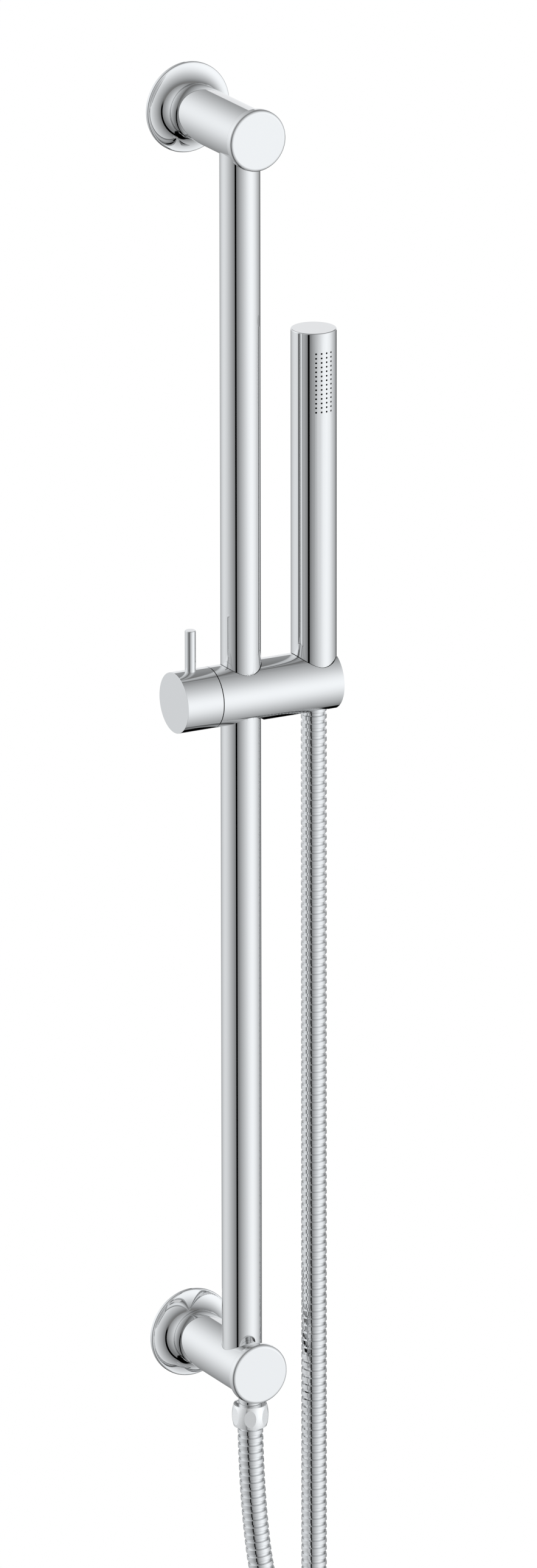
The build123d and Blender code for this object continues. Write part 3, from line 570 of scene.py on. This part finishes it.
def makeHose(plan):
    curve = routeCurve(plan)
    line, lengths = readLine(curve)
    total = lengths[-1]
    ribCount = round(total / plan["pitch"])
    pitch = total / ribCount

    # The loop runs from the point furthest right, where the hose is upright, to the straight run
    rightmost = max(range(len(line)), key=lambda number: line[number].x)
    cuts = [0, round(lengths[rightmost] / pitch)]
    for name in ("uprightFrom", "carrierFrom", "sliderFrom"):
        cuts.append(ribCount - round((line[-1].z - plan[name]) / pitch))
    cuts.append(ribCount)
    ends = [placeAt(line, lengths, cut * pitch) for cut in cuts]
    outlet, right, upright, handing, gripping, socket = (end.z for end in ends)

    # Part of the way along a blend at which a point follows the second body by the loop's share
    reached = 0.5 - math.sin(math.asin(1 - 2 * plan["loopShare"]) / 3)
    spans = {
        "hoseOutletRun": ("wall_set", "carrier", outlet, outlet + (right - outlet) / reached),
        "hoseLoop": ("wall_set", "carrier", right - reached * plan["stillReach"],
                     right + (1 - reached) * plan["stillReach"]),
        "hoseRisingRun": ("wall_set", "carrier", handing - (handing - upright) / (1 - reached), handing),
        "hoseUpperRun": ("carrier", "slider", handing, gripping),
        "hoseSocketRun": ("slider", "hose_end", gripping, socket),
    }
    tree = ribbedHoseTree()
    for number, (name, (lower, upper, start, end)) in enumerate(spans.items()):
        first, last = cuts[number] * pitch, cuts[number + 1] * pitch
        piece = growPiece(name, tree, {
            "Route": curve, "From": first, "Ribs": cuts[number + 1] - cuts[number], "Pitch": pitch,
            "Hose radius": plan["diameter"] / 2, "Groove radius": plan["grooveRadius"],
            "Rib width": plan["ribWidth"], "Rib edge": plan["ribEdge"], "Wall step": plan["wallStep"],
            "Sides": plan["sides"], "Finish": finishes["hose_chrome"]})
        finishPiece(piece, ["hose"])
        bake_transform(piece)
        print(name, "length", round(last - first, 4), "faces", len(piece.data.polygons))
    bpy.data.objects.remove(curve)
    print("hose made, length", round(total, 4), "ribs", ribCount)


makeHose(hosePlan)


# Floor, which fades out towards its edge
floorPlan = {
    "height": -1.1,
    "half": 1.2,
    "middle": -0.06,
    "fade": (1.176, 0.54),      # distances from the middle where it is clear and where it is whole
    "colour": (0.8, 0.8, 0.8, 1),
    "roughness": 0.7,
    "glow": 0.45,
}


def addFloor(plan):
    mesh = bpy.data.meshes.new("studioFloor")
    corners = [(x * plan["half"], y * plan["half"] + plan["middle"], plan["height"])
               for x, y in ((-1, -1), (1, -1), (1, 1), (-1, 1))]
    mesh.from_pydata(corners, [], [(0, 1, 2, 3)])
    floor = bpy.data.objects.new("studioFloor", mesh)
    bpy.context.scene.collection.objects.link(floor)
    material, tree, shader = newMaterial("paleFloor")
    shader.inputs["Base Color"].default_value = plan["colour"]
    shader.inputs["Roughness"].default_value = plan["roughness"]
    place = addNode(tree, "ShaderNodeTexCoord").outputs["Object"]
    flat = addNode(tree, "ShaderNodeVectorMath", operation="MULTIPLY_ADD",
                   inputs={0: place, 1: (1, 1, 0), 2: (0, -plan["middle"], 0)})
    reach = addNode(tree, "ShaderNodeVectorMath", operation="LENGTH", inputs={0: flat.outputs[0]})
    clearFrom, wholeFrom = plan["fade"]
    fade = addNode(tree, "ShaderNodeMapRange", interpolation_type="SMOOTHSTEP", inputs={
        "Value": reach.outputs["Value"], "From Min": clearFrom, "From Max": wholeFrom})
    clear = addNode(tree, "ShaderNodeBsdfTransparent")
    # The camera sees the floor pale, with the object's shadow still on it
    rays = addNode(tree, "ShaderNodeLightPath").outputs
    seen = calculate(tree, "MULTIPLY", rays["Is Camera Ray"], plan["glow"])
    glow = addNode(tree, "ShaderNodeEmission", inputs={"Color": (1, 1, 1, 1), "Strength": seen})
    lit = addNode(tree, "ShaderNodeAddShader", inputs={0: shader.outputs[0], 1: glow.outputs[0]})
    surface = addNode(tree, "ShaderNodeMixShader",
                      inputs={0: fade.outputs["Result"], 1: clear.outputs[0], 2: lit.outputs[0]})
    tree.links.new(surface.outputs[0], tree.nodes["Material Output"].inputs["Surface"])
    mesh.materials.append(material)
    floor.visible_glossy = False


# Lamp, for what isn't metal and for the floor's shadow
lampPlan = {"place": (-2.2, -3.4, 3.2), "aim": (0.0, -0.06, 0.3), "size": 2.6, "power": 45.0}


def addLamp(plan):
    data = bpy.data.lights.new("softLamp", "AREA")
    data.shape = "DISK"
    data.size = plan["size"]
    data.energy = plan["power"]
    lamp = bpy.data.objects.new("softLamp", data)
    bpy.context.scene.collection.objects.link(lamp)
    lamp.location = plan["place"]
    lamp.rotation_euler = (Vector(plan["aim"]) - lamp.location).to_track_quat("-Z", "Y").to_euler()
    lamp.visible_glossy = False


addFloor(floorPlan)
addLamp(lampPlan)
print("floor and lamp placed")
